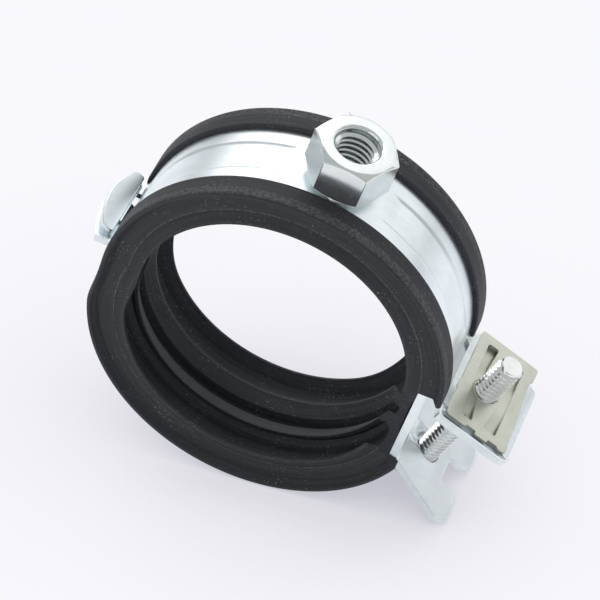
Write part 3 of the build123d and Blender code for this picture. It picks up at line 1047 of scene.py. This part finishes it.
def makeSpringPlate():
    plate = prism("spring_plate_sheet", spring["outline"], -spring["thickness"], 0)
    for slot in ("leftSlot", "rightSlot"):
        cutAway(plate, prism("cutter", spring[slot], -3, 3))
    softenEdges(plate, spring["edgeRound"], 2, 40)
    # each leaf is level at the screw and sinks towards its ends
    levelTo, sunkFrom, depth = spring["leafRamp"]
    back, front = spring["leafEnds"]
    leaves = []
    for low, high in spring["leafSides"]:
        deselectAll()
        bpy.ops.mesh.primitive_grid_add(x_subdivisions=2, y_subdivisions=16, size=1)
        leaf = named("leaf")
        for vertex in leaf.data.vertices:
            u = low + (vertex.co.x + 0.5) * (high - low)
            v = back + (vertex.co.y + 0.5) * (front - back)
            sink = smoothStep(levelTo, sunkFrom, abs(v - screw["cross"][1])) * depth
            vertex.co = Vector((u, v, spring["leafTop"] - sink)) * mm
        addModifier(leaf, "SOLIDIFY", thickness=spring["leafThickness"] * mm, offset=-1)
        recalculate(leaf)
        leaves.append(leaf)
    atScrew = Matrix.Translation(Vector((*screw["cross"], 0)) * mm)
    for part in [plate] + leaves:
        hole = lathe("cutter", [(0, -3), (spring["hole"], -3), (spring["hole"], 3), (0, 3)], 48)
        cutAway(part, placed(hole, atScrew))
    rim = placed(lathe("rim", spring["rimOutline"], 48), atScrew)
    atDimple = Matrix.Translation(Vector((*spring["dimple"], 0)) * mm)
    dimple = placed(lathe("dimple", spring["dimpleOutline"], 24), atDimple)
    piece = joined("spring_plate_sheet", [plate] + leaves + [rim, dimple])
    placed(piece, earMatrix())
    return settle(piece, "upper_half", "spring_plate", "nickel_plate", 35)


springPlate = makeSpringPlate()
print("spring plate made", len(springPlate.data.polygons))


# camera: the clamp stands on its rim, leaning towards its closure, and is seen from above on its open side
camera = {
    "azimuth": -20.24,
    "elevation": 43.67,
    "lean": 17.0,
    "distance": 669.4,
    "aside": -1.76,
    "down": -1.38,
    "lens": 180,
}
axisSwap = Matrix(((1, 0, 0), (0, 0, -1), (0, 1, 0)))
# rows: to the right, down and forwards, as the camera sees them
viewTurn = (
    Matrix.Rotation(radians(camera["elevation"]), 3, "X")
    @ axisSwap
    @ Matrix.Rotation(radians(camera["azimuth"]), 3, "Z")
    @ Matrix.Rotation(radians(camera["lean"]), 3, "Y")
)
worldUp = Vector((-sin(radians(camera["lean"])), 0, cos(radians(camera["lean"]))))


def makeCamera():
    offset = Vector((camera["aside"], camera["down"], camera["distance"])) * mm
    right, down, forward = viewTurn
    matrix = Matrix((right, -down, -forward)).transposed().to_4x4()
    matrix.translation = -(viewTurn.transposed() @ offset)
    data = bpy.data.cameras.new("camera")
    data.lens = camera["lens"]
    data.clip_start = 0.01
    eye = bpy.data.objects.new("camera", data)
    bpy.context.scene.collection.objects.link(eye)
    eye.matrix_world = matrix
    bpy.context.scene.camera = eye


makeCamera()

# studio: each lamp has its place (to the right, away from the camera, up) in metres, its size and its power
studio = {
    "lamps": {
        "key": ((0.60, 0.50, 0.60), 1.1, 2.0),
        "top": ((-0.15, 0.95, 0.75), 1.1, 4.2),
        "fill": ((-0.7, -0.5, 0.5), 0.9, 1.1),
    },
    "sky": 0.52,
    "floorColour": (0.90, 0.905, 0.925, 1),
    "floorGlow": 0.29,
    "backdrop": (0.95, 0.945, 0.98, 1),
    "shadowColour": (0.25, 0.25, 0.33, 1),
    "shadowReach": 0.09,
    "shadowDepth": 0.7,
    "floorSize": 6.0,
}


def makeLamps():
    forward = viewTurn.row[2]
    away = (forward - worldUp * forward.dot(worldUp)).normalized()
    aside = away.cross(worldUp).normalized()
    for name, (place, size, power) in studio["lamps"].items():
        data = bpy.data.lights.new(name, "AREA")
        data.size = size
        data.energy = power
        lamp = bpy.data.objects.new(name, data)
        bpy.context.scene.collection.objects.link(lamp)
        lamp.location = aside * place[0] + away * place[1] + worldUp * place[2]
        lamp.rotation_euler = lamp.location.to_track_quat("Z", "Y").to_euler()


def rayKind(wire, kind):
    return wire.node("ShaderNodeLightPath", output=kind)


def blendShaders(wire, share, first, second):
    return wire.node("ShaderNodeMixShader", inputs={0: share, 1: first, 2: second})


def makeSky():
    world = bpy.data.worlds.new("studio")
    bpy.context.scene.world = world
    world.use_nodes = True
    world.node_tree.nodes.clear()
    wire = Wire(world.node_tree)
    light = wire.node("ShaderNodeBackground", inputs={"Color": (1, 1, 1, 1), "Strength": studio["sky"]})
    backdrop = wire.node("ShaderNodeBackground", inputs={"Color": studio["backdrop"], "Strength": 1.0})
    seen = rayKind(wire, "Is Camera Ray")
    wire.node("ShaderNodeOutputWorld", inputs={"Surface": blendShaders(wire, seen, light, backdrop)})


def floorFinish():
    # lamps and reflections meet a pale matt floor; seen directly it is only its soft shadow on the backdrop,
    # so that a half swung below it stays in sight, and from below it is clear
    material, wire = newMaterial("pale_floor")
    reflected = rayKind(wire, "Is Glossy Ray") + rayKind(wire, "Is Transmission Ray")
    strength = wire.maths("MINIMUM", reflected, 1.0) * studio["floorGlow"]
    matt = wire.node("ShaderNodeBsdfDiffuse", inputs={"Color": studio["floorColour"]})
    glow = wire.node("ShaderNodeEmission", inputs={"Color": (1, 1, 1, 1), "Strength": strength})
    solid = wire.node("ShaderNodeAddShader", inputs={0: matt, 1: glow})
    clear = wire.node("ShaderNodeBsdfTransparent")
    shade = wire.node("ShaderNodeBsdfTransparent", inputs={"Color": studio["shadowColour"]})
    reach = {"Distance": studio["shadowReach"]}
    unshaded = wire.node("ShaderNodeAmbientOcclusion", {"samples": 16}, reach, "AO")
    shadow = blendShaders(wire, (1 - unshaded) * studio["shadowDepth"], clear, shade)
    above = blendShaders(wire, rayKind(wire, "Is Camera Ray"), solid, shadow)
    below = wire.node("ShaderNodeNewGeometry", output="Backfacing")
    wire.node("ShaderNodeOutputMaterial", inputs={"Surface": blendShaders(wire, below, above, clear)})
    return material


def makeFloor(pieces):
    # it touches the clamp's lowest point
    lowest = min(vertex.co.dot(worldUp) for piece in pieces for vertex in piece.data.vertices)
    deselectAll()
    bpy.ops.mesh.primitive_plane_add(size=studio["floorSize"])
    floor = named("floor")
    turn = worldUp.to_track_quat("Z", "Y").to_matrix().to_4x4()
    placed(floor, Matrix.Translation(worldUp * (lowest - 0.05 * mm)) @ turn)
    floor.data.materials.append(floorFinish())


makeLamps()
makeSky()
makeFloor([upperLiner, lowerLiner, upperBand, lowerBand, nutPiece, screwPiece, springPlate])
bpy.context.scene.view_settings.view_transform = "Standard"
print("studio made")
